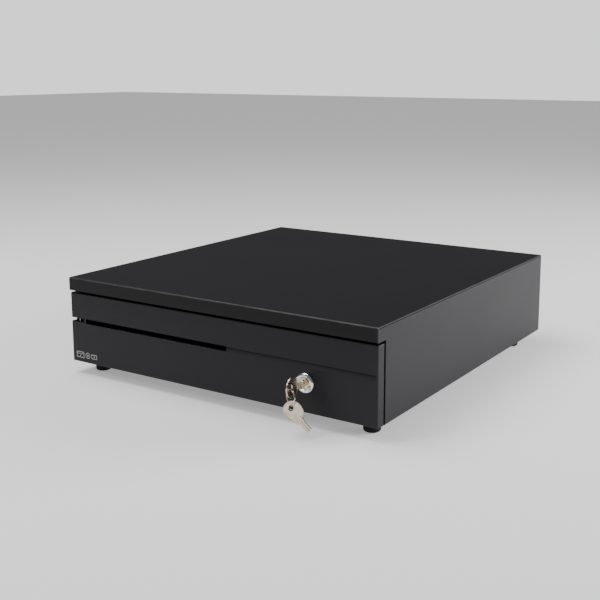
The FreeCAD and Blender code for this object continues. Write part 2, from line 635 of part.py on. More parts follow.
def makeLatch():
    """The bracket, its pin and the hooked lever, lifted clear of the striker."""
    yFrom = "frontY + 403"
    yTo = "frontY + 421"
    base = "underside + steel + 1.1"
    sides = [slab(f"latchSide{i}", pair, (yFrom, yTo), (base, "50"))
             for i, pair in enumerate((("-12", "-12 + frontSteel"), ("12 - frontSteel", "12")))]
    floor = slab("latchFloor", ("-12", "12"), (yFrom, yTo), (base, f"{base} + frontSteel"))
    shelf = slab("latchShelf", ("-14", "14"), ("frontY + 397", yTo), ("50 - frontSteel", "50"))
    pinHole = rod("latchPinHole", alongX, ("-15", "frontY + latchY", "latchZ"), "1.5", "30")
    stem = rod("latchStemHole", alongZ, ("0", plungerY, "45"), "4.6", "8")
    node("latch_bracket", minus("latchBracket", joined("latchFrame", sides + [floor, shelf]), [pinHole, stem]))
    node("latch_pin", rod("latchPin", alongX, ("-13", "frontY + latchY", "latchZ"), "1.5", "26"))
    corners = [("4", "-3.5"), ("4", "4"), ("1", "16"), ("-21.2", "16"), ("-21.2", "2"), ("-18.8", "3.4"),
               ("-18.8", "9.5"), ("-13", "9.5"), ("-13", "-3.5")]
    plate = padded("latchPlate", "YZ_Plane", corners, "4")
    place(plate, "-2", "0", "0")
    bore = rod("latchBore", alongX, ("-5", "0", "0"), "1.55", "10")
    slotEnds = [rod(f"latchSlot{i}", alongX, ("-5", f"-latchArm + {shift}", "0"), "1.35", "10")
                for i, shift in enumerate((-0.4, 0.9))]
    slotMiddle = slab("latchSlotMiddle", ("-5", "5"), ("-latchArm - 0.4", "-latchArm + 0.9"), ("-1.35", "1.35"))
    lever = minus("latchLever", plate, [bore, slotMiddle] + slotEnds)
    carried("latch_hook", lever, ("0", "frontY + latchY", "latchZ"), Rotation(Vector(1, 0, 0), -size["latchLift"]))


def makeSolenoid():
    yFrom = "frontY + 399"
    yTo = "frontY + 414"
    pieces = [slab("coilFrameLow", ("-13", "13"), (yFrom, yTo), ("50", "51.2")),
              slab("coilFrameTop", ("-13", "13"), (yFrom, yTo), ("81", "82.2")),
              slab("coilFrameLeft", ("-13", "-11.8"), (yFrom, yTo), ("50", "82.2")),
              slab("coilFrameRight", ("11.8", "13"), (yFrom, yTo), ("50", "82.2"))]
    stem = rod("coilFrameHole", alongZ, ("0", plungerY, "49"), "4.6", "4")
    node("solenoid_frame", minus("solenoidFrame", joined("coilFrame", pieces), [stem]))
    bobbin = [("4.5", "0"), ("9", "0"), ("9", "1.5"), ("7.8", "1.5"), ("7.8", "27.5"), ("9", "27.5"),
              ("9", "29"), ("4.5", "29")]
    node("solenoid_bobbin", turned("bobbin", bobbin, ("0", plungerY, "51.6"), alongZ))
    winding = [("7.8", "0"), ("8.8", "0"), ("8.8", "26"), ("7.8", "26")]
    node("solenoid_winding", turned("winding", winding, ("0", plungerY, "53.1"), alongZ))
    core = rod("plungerCore", alongZ, ("0", plungerY, f"{plungerPinZ} - 3"), "4", "54")
    fork = slab("plungerFork", ("-2.4", "2.4"), ("frontY + 398", "frontY + 414"),
                (f"{plungerPinZ} - 4", f"{plungerPinZ} + 20"))
    cross = rod("plungerCross", alongX, ("-3.6", plungerY, plungerPinZ), "1", "7.2")
    node("solenoid_plunger", joined("plunger", [minus("plungerStem", core, [fork]), cross]))


def makeStriker():
    """Two ears behind the tray with the bar that the hook drops in front of."""
    face = "frontY + trayBack"
    pieces = [rod("strikerBar", alongX, ("-8", "frontY + 399", "24"), "2", "16")]
    for word, side in (("Left", -1), ("Right", 1)):
        pieces.append(slab("strikerEar" + word, mirrored(("6.8", "8"), side), (face, "frontY + 401.5"), ("18", "30")))
        pieces.append(slab("strikerFoot" + word, mirrored(("6.8", "16"), side), (face, f"{face} + 1.2"), ("18", "30")))
    node("striker", joined("strikerWhole", pieces))


def makeSprings():
    """Compressed coil springs round plastic guides on the back panel."""
    springs = []
    guides = []
    length = 30
    for word, side in (("Left", -1), ("Right", 1)):
        helix = doc.addObject("Part::Helix", "springHelix" + word)
        helix.Pitch = length / 7.5
        helix.Height = length - 1.4
        helix.SegmentLength = 1
        helix.setExpression("Radius", ex("springRound"))
        wire = doc.addObject("Part::Circle", "springWire" + word)
        wire.Radius = 0.6
        place(wire, "springRound", "0", "0", towardFront)
        coil = doc.addObject("Part::Sweep", "springCoil" + word)
        coil.Sections = [wire]
        doc.recompute()
        coil.Spine = (helix, [f"Edge{i + 1}" for i in range(len(helix.Shape.Edges))])
        coil.Solid = True
        coil.Frenet = True
        springs.append(place(coil, f"{side} * springX", "frontY + trayBack + 0.9", "springZ", alongY))
        guides.append(rod("springGuide" + word, alongY, (f"{side} * springX", "frontY + 404", "springZ"), "4", "20"))
    group("eject_springs", springs)
    group("spring_guides", guides)


def makeSwitch():
    shell = slab("switchShell", ("60", "80"), ("frontY + 399", "frontY + 410"), ("underside + steel", "27"))
    bore = rod("switchBore", alongY, ("70", "frontY + 398", "20"), "2.3", "9")
    node("drawer_switch", minus("drawerSwitch", rounded("switchEdges", shell, 0.8,
                                lambda e: near(e, z=(size["underside"] + size["steel"] + 27) / 2)), [bore]))
    node("switch_button", rod("switchButton", alongY, ("70", "frontY + trayBack + 0.4", "20"), "2", "11"))


def makeSocket():
    """A modular socket for the drawer's cable, open to the back."""
    block = slab("socketBlock", ("portX - 8", "portX + 8"), (f"{back} - 17", f"{back} + 0.6"),
                 ("portZ - 7", "portZ + 7"))
    mouth = slab("socketMouth", ("portX - 5", "portX + 5"), (f"{back} - 14", f"{back} + 2"),
                 ("portZ - 4.5", "portZ + 3.5"))
    tongue = slab("socketTongue", ("portX - 2.6", "portX + 2.6"), (f"{back} - 14", f"{back} + 2"),
                  ("portZ - 6", "portZ - 4"))
    node("cable_socket", minus("cableSocket", block, [mouth, tongue]))


makeLatch()
makeSolenoid()
makeStriker()
makeSprings()
makeSwitch()
makeSocket()

# ---- checks and files ----

doc.recompute()
for obj in doc.Objects:
    if "Invalid" in obj.State or "Error" in obj.State:
        raise RuntimeError(f"{obj.Label} failed: {obj.State}")
os.makedirs("parts", exist_ok=True)
lift = Vector(0, 0, value("footHeight - underside"))
for name, obj in nodes.items():
    if obj.Shape.isNull() or not obj.Shape.isValid():
        raise RuntimeError(f"{name} has no valid shape")
    standing = obj.Shape.translated(lift)
    standing.exportStep(f"parts/{name}.step")
    box = standing.BoundBox
    print(f"{name:22s} {len(obj.Shape.Solids):3d} {obj.Shape.Volume:10.1f}  "
          f"{box.XMin:7.1f}..{box.XMax:7.1f} {box.YMin:7.1f}..{box.YMax:7.1f} {box.ZMin:7.1f}..{box.ZMax:7.1f}")
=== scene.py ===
import bmesh
import bpy
import json
import math
import random
from mathutils import Matrix, Vector


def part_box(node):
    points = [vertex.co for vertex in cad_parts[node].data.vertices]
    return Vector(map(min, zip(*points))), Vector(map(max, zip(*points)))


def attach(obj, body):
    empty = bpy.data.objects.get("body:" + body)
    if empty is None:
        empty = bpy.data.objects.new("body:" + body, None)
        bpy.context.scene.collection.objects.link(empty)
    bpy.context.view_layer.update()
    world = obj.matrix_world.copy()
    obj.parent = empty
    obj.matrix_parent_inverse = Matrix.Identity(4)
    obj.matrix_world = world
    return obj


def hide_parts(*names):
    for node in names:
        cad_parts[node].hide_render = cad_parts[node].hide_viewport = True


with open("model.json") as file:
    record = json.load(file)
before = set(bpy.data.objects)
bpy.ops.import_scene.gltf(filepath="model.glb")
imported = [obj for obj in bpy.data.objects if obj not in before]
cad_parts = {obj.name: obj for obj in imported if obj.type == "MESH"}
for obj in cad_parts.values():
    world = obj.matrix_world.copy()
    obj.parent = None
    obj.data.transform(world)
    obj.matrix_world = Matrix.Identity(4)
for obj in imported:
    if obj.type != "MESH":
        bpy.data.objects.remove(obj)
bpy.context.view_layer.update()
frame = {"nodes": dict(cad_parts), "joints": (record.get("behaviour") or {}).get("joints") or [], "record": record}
mm = 0.001
print("frame loaded:", len(frame["nodes"]), "nodes")


# a socket that can be used in sums, so shader maths reads like maths
class Signal:
    def __init__(self, shader, socket):
        self.shader = shader
        self.socket = socket

    def math(self, operation, first, second=0.0):
        values = {0: first, 1: second}
        return self.shader.add("ShaderNodeMath", {"operation": operation}, values)

    def __add__(self, other):
        return self.math("ADD", self, other)

    def __radd__(self, other):
        return self.math("ADD", other, self)

    def __sub__(self, other):
        return self.math("SUBTRACT", self, other)

    def __rsub__(self, other):
        return self.math("SUBTRACT", other, self)

    def __mul__(self, other):
        return self.math("MULTIPLY", self, other)

    def __rmul__(self, other):
        return self.math("MULTIPLY", other, self)

    def __abs__(self):
        return self.math("ABSOLUTE", self)

    def above(self, level, soft):
        span = {"interpolation_type": "SMOOTHSTEP"}
        limits = {"Value": self, "From Min": level - soft, "From Max": level + soft}
        return self.shader.add("ShaderNodeMapRange", span, limits)


class Shader:
    def __init__(self, name, fixed):
        self.material = bpy.data.materials.new(name)
        self.material.use_nodes = True
        self.tree = self.material.node_tree
        self.surface = self.tree.nodes["Principled BSDF"]
        for socket, value in fixed.items():
            self.surface.inputs[socket].default_value = value
        self.place = self.add("ShaderNodeTexCoord", {}, {}, "Object")

    def add(self, kind, settings, inputs, output=0):
        made = self.tree.nodes.new(kind)
        for name, value in settings.items():
            setattr(made, name, value)
        for name, value in inputs.items():
            self.feed(made.inputs[name], value)
        return Signal(self, made.outputs[output])

    def feed(self, socket, value):
        if isinstance(value, Signal):
            self.tree.links.new(value.socket, socket)
        else:
            socket.default_value = value

    def noise(self, scale, detail=3.0, roughness=0.5, stretch=None):
        spot = self.place
        if stretch:
            spot = self.add("ShaderNodeMapping", {}, {"Vector": spot, "Scale": stretch})
        values = {"Vector": spot, "Scale": scale, "Detail": detail, "Roughness": roughness}
        return self.add("ShaderNodeTexNoise", {}, values, "Fac")

    def cells(self, scale):
        values = {"Vector": self.place, "Scale": scale}
        return self.add("ShaderNodeTexVoronoi", {}, values, "Distance")

    def axes(self):
        parts = self.add("ShaderNodeSeparateXYZ", {}, {"Vector": self.place})
        outputs = parts.socket.node.outputs
        return [Signal(self, outputs[i]) for i in range(3)]

    def blend(self, mask, first, second):
        return self.add("ShaderNodeMix", {"data_type": "RGBA"}, {0: mask, 6: first, 7: second}, 2)

    def bump(self, height, depth, strength=1.0):
        values = {"Height": height, "Distance": depth, "Strength": strength}
        return self.add("ShaderNodeBump", {}, values, "Normal")

    def finish(self, **outputs):
        for name, value in outputs.items():
            self.feed(self.surface.inputs[name.replace("_", " ")], value)
        return self.material


def grey(level, warmth=0.0):
    return (level * (1 + warmth), level, level * (1 - warmth), 1.0)


# black powder coat: orange peel, a fine speckle, faint smudges, a painted highlight along the folds;
# a painted lighter tone toward the bottom for reflected floor light, and painted shade on the cover's front lip
powderCoat = {
    "colour": (0.0095, 0.0090, 0.0118, 1), "speck": (0.020, 0.0195, 0.024, 1),
    # second row: a paler colour painted as reflected floor light low down, and a darker one painted as shade on
    # the front lip
    "paintedFloorLight": (0.0125, 0.012, 0.015, 1), "deep": (0.002, 0.002, 0.003, 1),
    # the pale fold colour here is a painted highlight on the cover's folds
    "foldHighlightColour": (0.10, 0.10, 0.106, 1), "peelScale": 420, "grainScale": 2600,
    "speckScale": 1500, "roughness": 0.42, "smudge": 0.08, "fold": 1.3 * mm, "foldSoft": 0.5 * mm,
    "paintedFloorLightTop": 78 * mm, "paintedFloorLightSoft": 40 * mm, "lipDepth": 1.2 * mm, "peelDepth": 0.05 * mm,
}


def makePowderCoat():
    v = powderCoat
    shader = Shader("satin black powder coat", {"Specular IOR Level": 0.22})
    peel = shader.noise(v["peelScale"], 2.0)
    grain = shader.noise(v["grainScale"], 1.0)
    smudge = shader.noise(9.0, 4.0, 0.6)
    speck = shader.cells(v["speckScale"]).above(0.16, 0.1)
    x, y, z = shader.axes()
    low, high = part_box("top_cover")
    aboveDrawer = z.above(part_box("drawer_front")[1][2], 2 * mm)
    # painted shade: the face of the cover's front lip, above the drawer, is darkened
    deep = aboveDrawer * (1 - y.above(low[1] + v["lipDepth"], 0.4 * mm))
    # painted light: the coat turns paler below about 78 mm, standing in for floor light reflected low on the front
    dustAndPaintedFloorLight = 1 - z.above(v["paintedFloorLightTop"], v["paintedFloorLightSoft"])
    coatWithPaintedLight = shader.blend(deep, shader.blend(dustAndPaintedFloorLight, v["colour"], v["paintedFloorLight"]), v["deep"])
    base = shader.blend(0.5 * (1 - speck), coatWithPaintedLight, v["speck"])
    atSide = abs(x).above(high[0] - v["fold"], v["foldSoft"])
    atFront = 1 - y.above(low[1] + v["fold"], 0.6 * mm)
    atTop = z.above(high[2] - v["fold"], v["foldSoft"])
    fold = atFront * atTop + 0.7 * atSide * atFront + 0.5 * atSide * atTop
    # painted highlight: the cover's folds are lightened in patches, standing in for light caught on the bends
    foldHighlightMask = fold * (0.35 + 0.65 * shader.noise(60, 3.0).above(0.4, 0.25))
    colour = shader.blend(0.6 * foldHighlightMask, base, v["foldHighlightColour"])
    rough = v["roughness"] + v["smudge"] * (smudge - 0.5) + 0.05 * (grain - 0.5) - 0.08 * foldHighlightMask
    normal = shader.bump(0.7 * peel + 0.3 * grain, v["peelDepth"], 0.5)
    return shader.finish(Base_Color=colour, Roughness=rough, Normal=normal)


# zinc plate: rolled grain along the sheet, flakes of spangle, faint clouding
zincPlate = {"bright": (0.60, 0.60, 0.58, 1), "dull": (0.40, 0.41, 0.42, 1), "roughness": 0.34}


def makeZincPlate():
    v = zincPlate
    shader = Shader("zinc plated sheet", {"Metallic": 1.0})
    cloud = shader.noise(22, 4.0, 0.6)
    rolled = shader.noise(300, 2.0, stretch=(1.0, 0.03, 1.0))
    flakes = shader.cells(170)
    colour = shader.blend(0.6 * cloud + 0.4 * flakes, v["bright"], v["dull"])
    rough = v["roughness"] + 0.16 * (cloud - 0.5) + 0.10 * (rolled - 0.5)
    return shader.finish(Base_Color=colour, Roughness=rough, Normal=shader.bump(rolled, 0.03 * mm, 0.5))


# plated bright metals: a little cloudy wear and fine handling scratches
def makeBrightMetal(name, bright, worn, roughness, scratchScale, depth):
    shader = Shader(name, {"Metallic": 1.0})
    wear = shader.noise(150, 3.0, 0.55)
    scratches = shader.noise(scratchScale, 2.0, stretch=(1.0, 0.08, 0.5))
    colour = shader.blend(wear.above(0.55, 0.2), bright, worn)
    rough = roughness + 0.10 * (wear - 0.5) + 0.08 * (scratches - 0.5)
    return shader.finish(Base_Color=colour, Roughness=rough, Normal=shader.bump(scratches, depth, 0.4))


# grained moulded plastic, and nylon
def makePlastic(name, base, shade, roughness, grainScale, depth):
    shader = Shader(name, {"Specular IOR Level": 0.4})
    grain = shader.cells(grainScale)
    cloud = shader.noise(35, 3.0)
    colour = shader.blend(0.5 * cloud + 0.3 * grain, base, shade)
    rough = roughness + 0.12 * (cloud - 0.5) + 0.08 * (grain - 0.4)
    return shader.finish(Base_Color=colour, Roughness=rough, Normal=shader.bump(grain, depth, 0.5))


def makeRubber():
    shader = Shader("black foot rubber", {"Specular IOR Level": 0.25})
    dustAndPaintedFloorLight = shader.noise(160, 4.0, 0.7)
    grain = shader.noise(1800, 2.0)
    colour = shader.blend(0.4 * dustAndPaintedFloorLight.above(0.6, 0.12), grey(0.008), grey(0.03))
    rough = 0.75 + 0.15 * (dustAndPaintedFloorLight - 0.5)
    return shader.finish(Base_Color=colour, Roughness=rough, Normal=shader.bump(grain, 0.08 * mm, 0.6))


def makeWinding():
    shader = Shader("enamelled winding", {"Metallic": 0.9})
    tone = shader.noise(420, 3.0)
    colour = shader.blend(tone.above(0.5, 0.25), (0.24, 0.085, 0.035, 1), (0.60, 0.27, 0.12, 1))
    rough = 0.22 + 0.14 * tone
    return shader.finish(Base_Color=colour, Roughness=rough, Normal=shader.bump(tone, 0.03 * mm, 0.4))


def makePrint():
    shader = Shader("light grey print", {"Specular IOR Level": 0.3})
    ink = shader.noise(900, 3.0)
    colour = shader.blend(0.5 * ink.above(0.5, 0.2), grey(0.42), grey(0.28))
    rough = 0.5 + 0.1 * ink
    return shader.finish(Base_Color=colour, Roughness=rough, Normal=shader.bump(ink, 0.02 * mm, 0.4))


nickel = ((0.66, 0.58, 0.47, 1), (0.56, 0.45, 0.35, 1))
finishes = {
    "black_powder_coat": makePowderCoat(),
    "zinc_steel": makeZincPlate(),
    "lock_chrome": makeBrightMetal("chromed lock", grey(0.86), grey(0.74), 0.09, 500, 0.006 * mm),
    "key_nickel": makeBrightMetal("nickel plated key", *nickel, 0.24, 700, 0.01 * mm),
    "turned_steel": makeBrightMetal("turned steel", grey(0.56), grey(0.42), 0.28, 1000, 0.02 * mm),
    "screw_steel": makeBrightMetal("black zinc screw", grey(0.10), grey(0.20, 0.1), 0.36, 900, 0.02 * mm),
    "black_plastic": makePlastic("grained black plastic", grey(0.022), grey(0.038), 0.52, 1700, 0.08 * mm),
    "white_nylon": makePlastic("natural nylon", grey(0.66, 0.04), grey(0.52, 0.08), 0.38, 900, 0.03 * mm),
    "foot_rubber": makeRubber(),
    "copper_winding": makeWinding(),
    "badge_grey": makePrint(),
}
print("finishes made:", len(finishes))


def dressNodes():
    for entry in frame["record"]["subparts"]:
        piece = frame["nodes"][entry["node"]]
        piece.data.materials.clear()
        piece.data.materials.append(finishes[entry["material_slot"]])


dressNodes()
print("frame nodes dressed")


def middle(node):
    low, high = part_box(node)
    return (Vector(low) + Vector(high)) / 2


def pivot(joint):
    for entry in frame["joints"]:
        if entry["name"] == joint:
            return Vector(entry["pos_m"])


def addPiece(name, mesh, slot, body, *nodes):
    data = bpy.data.meshes.new(name)
    bmesh.ops.recalc_face_normals(mesh, faces=mesh.faces)
    mesh.to_mesh(data)
    mesh.free()
    data.materials.append(finishes[slot])
    data.shade_smooth()
    data.set_sharp_from_angle(angle=math.radians(32))
    piece = bpy.data.objects.new(name, data)
    bpy.context.collection.objects.link(piece)
    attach(piece, body)
    if nodes:
        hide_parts(*nodes)


# puts one mesh into another, for pieces made of several equal parts
def gather(whole, one):
    data = bpy.data.meshes.new("working")
    one.to_mesh(data)
    one.free()
    whole.from_mesh(data)
    bpy.data.meshes.remove(data)


def turnBy(degrees, axis):
    return Matrix.Rotation(math.radians(degrees), 4, axis)


# a closed profile of (radius, height) turned round Z; its ends stand on the axis or it is a ring
def turnProfile(mesh, profile, steps, closed=False):
    points = [mesh.verts.new((radius, 0, height)) for radius, height in profile]
    pairs = list(zip(points, points[1:]))
    if closed:
        pairs.append((points[-1], points[0]))
    edges = [mesh.edges.new(pair) for pair in pairs]
    bmesh.ops.spin(mesh, geom=points + edges, cent=(0, 0, 0), axis=(0, 0, 1), angle=2 * math.pi,
                   steps=steps, use_merge=True, use_duplicate=False)
    bmesh.ops.remove_doubles(mesh, verts=mesh.verts, dist=0.001 * mm)
    return mesh


def moved(mesh, matrix):
    bmesh.ops.transform(mesh, matrix=matrix, verts=mesh.verts)
    return mesh


def block(size, spot, bevel=0.0):
    mesh = bmesh.new()
    bmesh.ops.create_cube(mesh, size=1.0)
    bmesh.ops.scale(mesh, vec=size, verts=mesh.verts)
    if bevel:
        bmesh.ops.bevel(mesh, geom=mesh.edges[:], offset=bevel, segments=2, profile=0.5, affect="EDGES",
                        material=-1)
    bmesh.ops.translate(mesh, vec=spot, verts=mesh.verts)
    return mesh


def pin(radius, length, spot, steps=32, wide=None):
    mesh = bmesh.new()
    bmesh.ops.create_cone(mesh, cap_ends=True, segments=steps, radius1=radius, radius2=wide or radius,
                          depth=length)
    bmesh.ops.translate(mesh, vec=spot, verts=mesh.verts)
    return mesh


# cuts or adds one mesh to another and hands back the result
def combine(mesh, others, operation):
    holders = []
    for part in [mesh] + others:
        data = bpy.data.meshes.new("working")
        bmesh.ops.recalc_face_normals(part, faces=part.faces)
        part.to_mesh(data)
        part.free()
        holder = bpy.data.objects.new("working", data)
        bpy.context.collection.objects.link(holder)
        holders.append(holder)
    base = holders[0]
    for other in holders[1:]:
        change = base.modifiers.new("combine", "BOOLEAN")
        change.object = other
        change.operation = operation
        change.solver = "EXACT"
    bpy.context.view_layer.update()
    made = bpy.data.meshes.new_from_object(base.evaluated_get(bpy.context.evaluated_depsgraph_get()))
    result = bmesh.new()
    result.from_mesh(made)
    bpy.data.meshes.remove(made)
    for holder in holders:
        data = holder.data
        bpy.data.objects.remove(holder)
        bpy.data.meshes.remove(data)
    return result


# keys: a dished bow with a raised rim, a sunk eye, shoulders, a milled and cut blade
keys = {
    "bow": 10.6 * mm, "thick": 1.6 * mm, "dish": 0.42 * mm, "rim": 1.5 * mm, "slope": 0.45 * mm,
    "edge": 0.35 * mm, "eyeSide": 0.8 * mm, "eyeOut": 4 * mm, "eye": 2.5 * mm, "eyeRim": 4.4 * mm,
    "sink": 1.5 * mm, "shift": 1.6 * mm,
    "bladeWide": 6.2 * mm, "bladeStart": 8 * mm, "shoulder": (7.8 * mm, 5.4 * mm), "flute": 0.35 * mm,
    "fluteWide": 1.3 * mm, "notch": 1.9 * mm, "depths": (1.5, 0.9, 1.7, 1.1, 1.4), "tip": 6 * mm,
    "lockBlade": 37 * mm, "spareBlade": 25 * mm, "lean": -46.5, "yaw": 13, "steps": 40, "spare": 0.1 * mm,
}


# a square cutter standing on its corner
def diamond(wide, away, along):
    mesh = block((wide, wide, 4 * mm), (0, 0, 0))
    moved(mesh, turnBy(45, "Z"))
    return moved(mesh, Matrix.Translation((away, along, 0)))


def makeKey(name, bladeLength, eyeSpot, turn, body, node):
    v = keys
    half = v["thick"] / 2
    bow = v["bow"]
    inner = bow - v["rim"]
    slope = inner + v["slope"]
    edge = v["edge"]
    floor = half - v["dish"]
    upper = [(0, floor), (inner, floor), (slope, half), (bow - edge, half), (bow, half - edge)]
    profile = upper + [(radius, -height) for radius, height in reversed(upper)]
    key = turnProfile(bmesh.new(), profile, 72)
    eyeAt = (v["eyeSide"], -v["eyeOut"], 0)
    start = v["bladeStart"]
    boss = pin(v["eyeRim"], 2 * half - v["spare"], eyeAt, v["steps"])
    bladeAt = (-v["shift"], (bladeLength + start) / 2, 0)
    blade = block((v["bladeWide"], bladeLength - start, v["thick"]), bladeAt, 0.12 * mm)
    shoulder = block((*v["shoulder"], v["thick"]), (-v["shift"], bow + 0.2 * mm, 0), 0.3 * mm)
    key = combine(key, [boss, blade, shoulder], "UNION")
    cuts = [pin(v["eye"], 4 * mm, eyeAt, v["steps"])]
    deep = half + v["spare"]
    for side in (1, -1):
        sink = pin(v["eye"], deep, (0, 0, side * deep / 2), v["steps"], v["eye"] + v["sink"])
        if side < 0:
            bmesh.ops.scale(sink, vec=(1, 1, -1), verts=sink.verts)
            bmesh.ops.translate(sink, vec=(0, 0, -deep), verts=sink.verts)
        bmesh.ops.translate(sink, vec=eyeAt, verts=sink.verts)
        cuts.append(sink)
        fluteAt = (-v["shift"] - side * 0.9 * mm, (bladeLength + bow) / 2 + 2 * mm, side * half)
        cuts.append(block((v["fluteWide"], bladeLength - bow, 2 * v["flute"]), fluteAt))
    pitch = (bladeLength - bow - 7 * mm) / len(v["depths"])
    for i, depth in enumerate(v["depths"]):
        away = 3.1 * mm - v["shift"] + (1.35 - depth * 0.6) * mm
        cuts.append(diamond(v["notch"], away, bow + 4.4 * mm + (i + 0.5) * pitch))
    for side in (1, -1):
        cuts.append(diamond(v["tip"], side * 4.7 * mm - v["shift"], bladeLength + 1.6 * mm))
    key = combine(key, cuts, "DIFFERENCE")
    toEye = Matrix.Translation((-v["eyeSide"], 0, -v["eyeOut"]))
    moved(key, Matrix.Translation(eyeSpot) @ turn @ toEye @ turnBy(-90, "X"))
    addPiece(name, key, "key_nickel", body, node)


def makeKeys():
    v = keys
    inLock = turnBy(90, "Z") @ turnBy(-90, "Y")
    hanging = turnBy(v["yaw"], "Z") @ turnBy(v["lean"], "Y")
    makeKey("keyInLock", v["lockBlade"], pivot("ring_swing"), inLock, "lock_core", "lock_key")
    makeKey("keySpare", v["spareBlade"], pivot("spare_key_swing"), hanging, "spare", "spare_key")


# split ring: two turns of wire side by side
splitRing = {"radius": 8 * mm, "wire": 0.36 * mm, "pitch": 0.7 * mm, "yaw": -27, "turns": 2, "steps": 160}


def makeSplitRing():
    v = splitRing
    mesh = bmesh.new()
    wire = bmesh.ops.create_circle(mesh, cap_ends=True, segments=14, radius=v["wire"])["verts"]
    upright = turnBy(90, "X")
    bmesh.ops.transform(mesh, matrix=Matrix.Translation((v["radius"], 0, -v["pitch"])) @ upright, verts=wire)
    step = Vector((0, 0, v["pitch"] / v["steps"] * v["turns"]))
    start = mesh.faces[:] + mesh.edges[:] + mesh.verts[:]
    bmesh.ops.spin(mesh, geom=start, cent=(0, 0, 0), axis=(0, 0, 1), dvec=step,
                   angle=2 * math.pi * v["turns"], steps=v["steps"], use_merge=False, use_duplicate=False)
    turn = turnBy(v["yaw"], "Z") @ turnBy(90, "X")
    moved(mesh, Matrix.Translation(middle("key_ring")) @ turn)
    addPiece("splitRing", mesh, "key_nickel", "ring", "key_ring")


makeKeys()
makeSplitRing()
print("keys and split ring made")

# lock: a domed bezel with a turned step, and a threaded barrel behind the panel
lockBody = {
    "bezel": 10.5 * mm, "dome": 2.0 * mm, "bore": 6.05 * mm, "thread": 9.4 * mm, "length": 23 * mm,
    "pitch": 1.0 * mm, "threadStart": 3 * mm, "threadDepth": 0.5 * mm, "steps": 96,
}


def makeLockBarrel():
    v = lockBody
    rise = v["dome"]
    bore = v["bore"]
    bezel = v["bezel"]
    crest = v["thread"]
    pitch = v["pitch"]
    profile = [(bore, rise * 0.55), (bore + 0.5 * mm, rise * 0.8), (bore + 0.9 * mm, rise * 0.72),
               (bore + 1.3 * mm, rise), (bore + 2.6 * mm, rise * 0.97), (bezel - 1.0 * mm, rise * 0.72),
               (bezel - 0.35 * mm, rise * 0.42), (bezel, 0.1 * mm), (bezel, -0.95 * mm),
               (crest, -0.98 * mm), (crest, -v["threadStart"])]
    depth = v["threadStart"]
    while depth < v["length"] - 2 * pitch:
        profile.append((crest, -depth - 0.3 * pitch))
        profile.append((crest - v["threadDepth"], -depth - 0.8 * pitch))
        depth += pitch
    profile += [(crest, -depth - 0.3 * pitch), (crest, -v["length"]), (bore, -v["length"])]
    mesh = turnProfile(bmesh.new(), profile, v["steps"], closed=True)
    centre = middle("lock_barrel")
    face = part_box("lock_barrel")[0][1] + rise
    towardFront = turnBy(90, "X")
    moved(mesh, Matrix.Translation((centre.x, face, centre.z)) @ towardFront)
    addPiece("lockBarrel", mesh, "lock_chrome", "drawer", "lock_barrel")


makeLockBarrel()

# pan head screws with a cross recess
crossScrew = {"head": 3.6 * mm, "rise": 1.6 * mm, "shank": 1.9 * mm, "slot": 0.8 * mm, "reach": 1.9 * mm}


def makeScrew(length):
    v = crossScrew
    profile = [(0, v["rise"]), (v["head"] * 0.45, v["rise"] * 0.94), (v["head"] * 0.8, v["rise"] * 0.68),
               (v["head"], v["rise"] * 0.25), (v["head"], 0), (v["shank"], 0)]
    depth = 1.5 * mm
    while depth < length - 1 * mm:
        profile += [(v["shank"], -depth), (v["shank"] * 0.78, -depth - 0.35 * mm)]
        depth += 0.7 * mm
    profile += [(v["shank"] * 0.8, -length), (0, -length)]
    mesh = turnProfile(bmesh.new(), profile, 28)
    recess = [block((2 * v["reach"], v["slot"], 2 * mm), (0, 0, v["rise"])),
              block((v["slot"], 2 * v["reach"], 2 * mm), (0, 0, v["rise"]))]
    return combine(mesh, recess, "DIFFERENCE")


# corners of a group of equal pieces, two along each listed axis
def spots(node, inset, axes):
    low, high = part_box(node)
    found = [Vector(low)]
    for axis in axes:
        found = [spot.copy() for spot in found for _ in (0, 1)]
        for i, spot in enumerate(found):
            spot[axis] = low[axis] + inset if i % 2 == 0 else high[axis] - inset
    return found


def makeScrews(name, node, length, body, places, turn):
    whole = bmesh.new()
    for spot in places:
        one = makeScrew(length)
        moved(one, Matrix.Translation(spot) @ turn @ Matrix.Rotation(random.uniform(0, 1.5), 4, "Z"))
        gather(whole, one)
    addPiece(name, whole, "screw_steel", body, node)


def makeAllScrews():
    head = crossScrew["head"]
    rise = crossScrew["rise"]
    under = spots("foot_screws", head, (0, 1))
    for spot in under:
        spot.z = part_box("foot_screws")[0][2] + rise
    makeScrews("footScrews", "foot_screws", 12.6 * mm, "housing", under, Matrix.Rotation(math.pi, 4, "X"))
    behind = spots("back_screws", head, (0, 2))
    for spot in behind:
        spot.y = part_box("back_screws")[1][1] - rise
    makeScrews("backScrews", "back_screws", 6 * mm, "housing", behind, turnBy(-90, "X"))


random.seed(7)
makeAllScrews()
print("lock and screws made")

# rubber feet: a soft shoulder, a ringed tread and a hollow for the screw
foot = {
    "round": 9 * mm, "high": 14 * mm, "recess": 5 * mm, "hole": 2 * mm, "wide": 5 * mm, "clear": 0.01 * mm,
}


